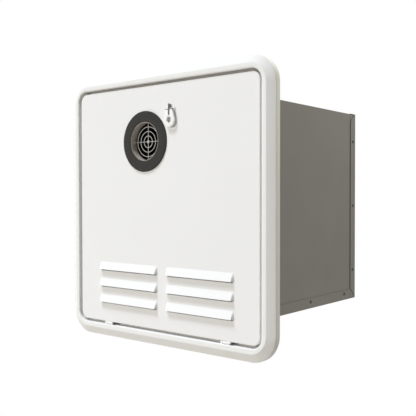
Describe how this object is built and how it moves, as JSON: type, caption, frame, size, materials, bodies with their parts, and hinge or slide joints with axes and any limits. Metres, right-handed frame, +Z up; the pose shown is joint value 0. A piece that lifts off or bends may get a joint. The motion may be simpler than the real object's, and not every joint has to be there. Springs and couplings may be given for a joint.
{
  "type": "recessed propane water heater",
  "caption": "Wall-recessed gas water heater: square trim frame, bottom-hinged louvred access door with exhaust outlet and turn latch, steel casing behind with burner, exchanger and blower.",
  "frame": {"origin": "centre of the square trim frame on the outside surface of the wall, which is the centre of the pattern of wall screws", "axes": "+X to the right seen from outside, +Y into the wall along the wall screws, +Z up"},
  "size_m": [0.4146, 0.3412, 0.4146],
  "materials": {
    "trim_white": "satin",
    "door_white": "satin",
    "bezel_dark": "satin",
    "latch_white": "gloss",
    "rivet_dark": "satin",
    "latch_dark": "satin",
    "casing_steel": "satin",
    "zinc": "satin",
    "stainless": "satin",
    "seal_rubber": "matte",
    "fibre": "matte",
    "copper": "satin",
    "aluminised": "satin",
    "brass": "satin",
    "gas_yellow": "satin",
    "valve_alloy": "matte",
    "coil_black": "matte",
    "blower_grey": "matte",
    "wheel_white": "matte",
    "steel_shaft": "polished",
    "motor_black": "matte",
    "turbine_blue": "matte",
    "clamp_grey": "matte",
    "lever_red": "satin",
    "box_grey": "matte",
    "board_green": "satin",
    "rocker_black": "gloss",
    "lead_orange": "satin",
    "ceramic": "satin"
  },
  "bodies": {
    "casing": {"back_panel": "casing_steel", "blower_housing": "blower_grey", "blower_motor": "motor_black", "bottom_pan": "casing_steel", "burner_bars": "stainless", "burner_tray": "aluminised", "cable_gland": "coil_black", "casing_rivets": "rivet_dark", "casing_wrap": "casing_steel", "circuit_board": "board_green", "cold_pipe": "copper", "cold_riser": "copper", "control_box": "box_grey", "control_cover": "box_grey", "door_seal": "seal_rubber", "drain_valve_body": "brass", "exchanger_fins": "copper", "exchanger_shell": "copper", "exchanger_tube": "copper", "exhaust_gasket": "fibre", "exhaust_grille": "stainless", "exhaust_hood": "aluminised", "exhaust_outlet": "stainless", "flow_sensor_housing": "coil_black", "frame_screws": "zinc", "gas_inlet_fitting": "brass", "gas_manifold": "aluminised", "gas_nozzles": "brass", "gas_pipes": "gas_yellow", "gas_solenoids": "coil_black", "gas_valve": "valve_alloy", "hinge_pins": "zinc", "hot_pipe": "copper", "ignition_leads": "lead_orange", "ignition_module": "coil_black", "inlet_tee": "brass", "latch_keeper": "zinc", "pipe_clamps": "clamp_grey", "spark_electrodes": "ceramic", "stack_legs": "zinc", "trim_frame": "trim_white", "valve_bracket": "zinc", "water_fittings": "brass"},
    "door": {"door_panel": "door_white", "door_hinge_straps": "door_white", "exhaust_bezel": "bezel_dark", "bezel_retainer": "zinc", "bezel_screws": "zinc", "louvre_screens": "stainless", "door_insulation": "fibre"},
    "latch": {"latch_spindle": "latch_dark", "latch_cam": "zinc", "latch_nut": "zinc", "latch_collar": "latch_white"},
    "pull": {"latch_pull": "latch_white"},
    "blower": {"blower_wheel": "wheel_white", "blower_shaft": "steel_shaft"},
    "turbine": {"flow_turbine": "turbine_blue"},
    "drain": {"drain_lever": "lever_red"},
    "rocker": {"power_rocker": "rocker_black"}
  },
  "joints": [
    {"name": "door_hinge", "type": "hinge", "parent": "casing", "child": "door", "pos_m": [0, -0.0119, -0.1856], "axis": [1, 0, 0], "range_deg": [0, 100]},
    {"name": "latch_turn", "type": "hinge", "parent": "door", "child": "latch", "pos_m": [0.0211, -0.0125, 0.1445], "axis": [0, -1, 0], "range_deg": [0, 90]},
    {"name": "pull_lift", "type": "hinge", "parent": "latch", "child": "pull", "pos_m": [0.0211, -0.0157, 0.1445], "axis": [-1, 0, 0], "range_deg": [0, 95]},
    {"name": "blower_spin", "type": "hinge", "parent": "casing", "child": "blower", "pos_m": [-0.0334, 0.125, -0.118], "axis": [0, 1, 0], "continuous": true},
    {"name": "turbine_spin", "type": "hinge", "parent": "casing", "child": "turbine", "pos_m": [-0.14, 0.25275, -0.12], "axis": [0, 1, 0], "continuous": true},
    {"name": "drain_turn", "type": "hinge", "parent": "casing", "child": "drain", "pos_m": [-0.14, 0.032, -0.12], "axis": [0, 1, 0], "range_deg": [0, 90]},
    {"name": "rocker_tip", "type": "hinge", "parent": "casing", "child": "rocker", "pos_m": [0.11, 0.025, 0.108], "axis": [1, 0, 0], "range_deg": [0, 18]}
  ]
}
